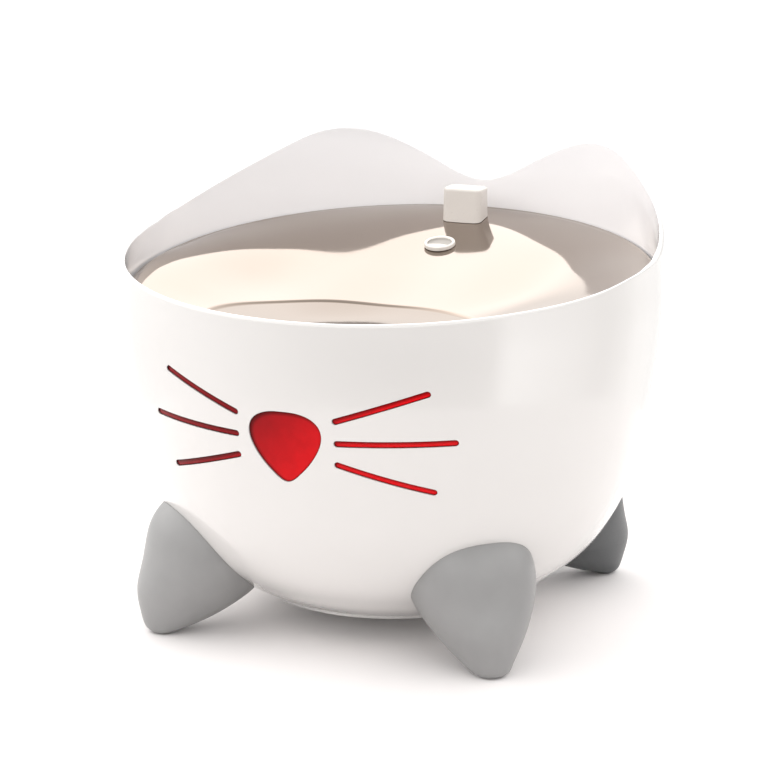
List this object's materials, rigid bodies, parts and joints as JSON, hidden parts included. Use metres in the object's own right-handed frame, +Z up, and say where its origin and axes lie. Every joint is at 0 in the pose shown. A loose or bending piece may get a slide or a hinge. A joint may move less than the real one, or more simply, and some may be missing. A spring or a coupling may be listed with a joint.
{
  "type": "pet water fountain",
  "caption": "Bowl-shaped pet water fountain with an eared back wall, sloping polished drinking tray, pump, filter and lit face windows.",
  "frame": {"origin": "centre of the underside, at the height of the foot pads", "axes": "+Z up, -Y towards the nose at the front, +X to the right as seen by somebody who faces the front"},
  "size_m": [0.252, 0.252, 0.2089],
  "materials": {
    "shell_white": "gloss",
    "lens_red": "translucent gloss",
    "diffuser_milk": "milky",
    "board_green": "solder mask",
    "led_yellow": "clear",
    "screw_steel": "bright",
    "tank_plastic": "satin",
    "base_plastic": "satin",
    "socket_black": "satin",
    "seal_rubber": "matt",
    "foot_grey": "satin",
    "pad_rubber": "matt",
    "pump_plastic": "satin",
    "foam": "open cell",
    "shaft_steel": "ground",
    "cup_silicone": "matt",
    "tube_silicone": "satin",
    "gasket_silicone": "matt",
    "tray_steel": "mirror polished",
    "float_plastic": "satin",
    "cap_white": "satin",
    "rotor_plastic": "satin",
    "magnet_dark": "ground",
    "filter_fabric": "non-woven",
    "filter_tab": "satin"
  },
  "bodies": {
    "housing": {"outer_shell": "shell_white", "nose_lens": "lens_red", "whisker_lens_left": "lens_red", "whisker_lens_right": "lens_red", "light_diffuser": "diffuser_milk", "led_board": "board_green", "leds": "led_yellow", "led_board_screws": "screw_steel", "reservoir": "tank_plastic", "bottom_cover": "base_plastic", "bottom_cover_screws": "screw_steel", "control_board": "board_green", "dc_inlet_socket": "socket_black", "inlet_seal": "seal_rubber", "foot_front_left": "foot_grey", "foot_front_right": "foot_grey", "foot_rear_left": "foot_grey", "foot_rear_right": "foot_grey", "foot_pads": "pad_rubber", "foot_screws": "screw_steel", "pump_body": "pump_plastic", "pump_cover": "pump_plastic", "intake_foam": "foam", "impeller_shaft": "shaft_steel", "shaft_bushes": "seal_rubber", "pump_suction_cups": "cup_silicone", "outlet_tube": "tube_silicone", "filter_holder": "tank_plastic", "tray_gasket": "gasket_silicone"},
    "tray": {"drinking_tray": "tray_steel", "spout_neck": "tank_plastic", "spout_seat": "tank_plastic", "float_guide": "float_plastic", "drain_strainer": "tank_plastic"},
    "cap": {"spout_cap": "cap_white"},
    "float": {"level_float": "float_plastic", "float_bulb": "float_plastic"},
    "rotor": {"impeller": "rotor_plastic", "impeller_magnet": "magnet_dark"},
    "filter": {"filter_cartridge": "filter_fabric", "filter_pull_tab": "filter_tab"}
  },
  "joints": [
    {"name": "tray_lift", "type": "slide", "parent": "housing", "child": "tray", "axis": [0, 0, 1], "range_m": [0, 0.06]},
    {"name": "cap_lift", "type": "slide", "parent": "tray", "child": "cap", "axis": [0, 0, 1], "range_m": [0, 0.025]},
    {"name": "float_rise", "type": "slide", "parent": "tray", "child": "float", "axis": [0, -0.2179, 0.976], "range_m": [0, 0.006]},
    {"name": "rotor_spin", "type": "hinge", "parent": "housing", "child": "rotor", "pos_m": [0, 0.03, 0.053], "axis": [0, 1, 0], "continuous": true},
    {"name": "filter_lift", "type": "slide", "parent": "housing", "child": "filter", "axis": [0, 0, 1], "range_m": [0, 0.03]}
  ]
}
